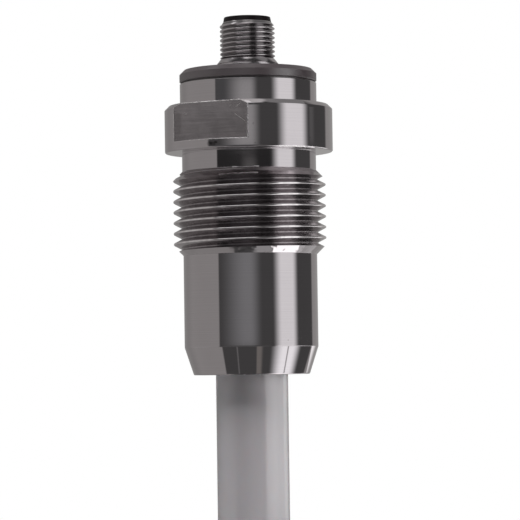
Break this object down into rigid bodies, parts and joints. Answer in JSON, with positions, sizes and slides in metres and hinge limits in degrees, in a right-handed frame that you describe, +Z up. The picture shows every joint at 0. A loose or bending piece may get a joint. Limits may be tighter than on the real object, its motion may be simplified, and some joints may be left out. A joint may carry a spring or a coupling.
{
  "type": "capacitive level probe",
  "caption": "Rod probe for sensing level by capacitance: turned steel housing with pipe thread, wrench flats and sealing cone, sheathed rod and a round threaded plug connector.",
  "frame": {"origin": "on the axis at the sealing edge, where the housing's nose cylinder meets its sealing cone", "axes": "+Z up the axis, from the rod towards the connector; the wrench flats face -Y and +Y"},
  "size_m": [0.0366, 0.0366, 0.2279],
  "materials": {
    "turned_steel": "finely turned stainless steel, bright, with faint tool marks round the axis",
    "shell_steel": "bright stainless steel with a fine thread",
    "cap_plastic": "dark grey satin moulded plastic",
    "insert_plastic": "black matt moulded plastic",
    "sheath_polymer": "off-white satin fluoropolymer, faintly waxy",
    "gold_contact": "gold-plated contact",
    "inner_steel": "plain turned steel",
    "nickel_brass": "nickel-plated brass",
    "tinned_brass": "tinned sheet brass",
    "bush_polymer": "tan engineering plastic, turned",
    "carrier_plastic": "black moulded plastic",
    "board_laminate": "green solder resist on glass-fibre laminate",
    "chip_plastic": "black moulded package",
    "capacitor_ceramic": "tan ceramic",
    "ferrite": "dark grey ferrite",
    "seal_rubber": "black elastomer"
  },
  "bodies": {
    "root": {"board_carrier": "carrier_plastic", "cap_seal_ring": "seal_rubber", "capacitor_1": "capacitor_ceramic", "capacitor_2": "capacitor_ceramic", "capacitor_3": "capacitor_ceramic", "connector_board": "board_laminate", "connector_nut": "nickel_brass", "connector_seal_ring": "seal_rubber", "connector_shell": "shell_steel", "contact_carrier": "insert_plastic", "contact_pin_1": "gold_contact", "contact_pin_2": "gold_contact", "contact_pin_3": "gold_contact", "contact_pin_4": "gold_contact", "earth_clip": "tinned_brass", "electrode_core": "inner_steel", "electrode_nut": "inner_steel", "electrode_washer": "inner_steel", "end_cap": "cap_plastic", "gland_nut": "inner_steel", "inductor": "ferrite", "insulating_bush": "bush_polymer", "main_board": "board_laminate", "measuring_chip": "chip_plastic", "output_transistor": "chip_plastic", "probe_sheath": "sheath_polymer", "process_housing": "turned_steel", "protection_diode_1": "chip_plastic", "protection_diode_2": "chip_plastic", "sheath_seal_ring_1": "seal_rubber", "sheath_seal_ring_2": "seal_rubber", "spring_washer": "inner_steel", "terminal_tag": "tinned_brass", "thrust_washer": "inner_steel", "voltage_regulator": "chip_plastic"}
  },
  "joints": []
}
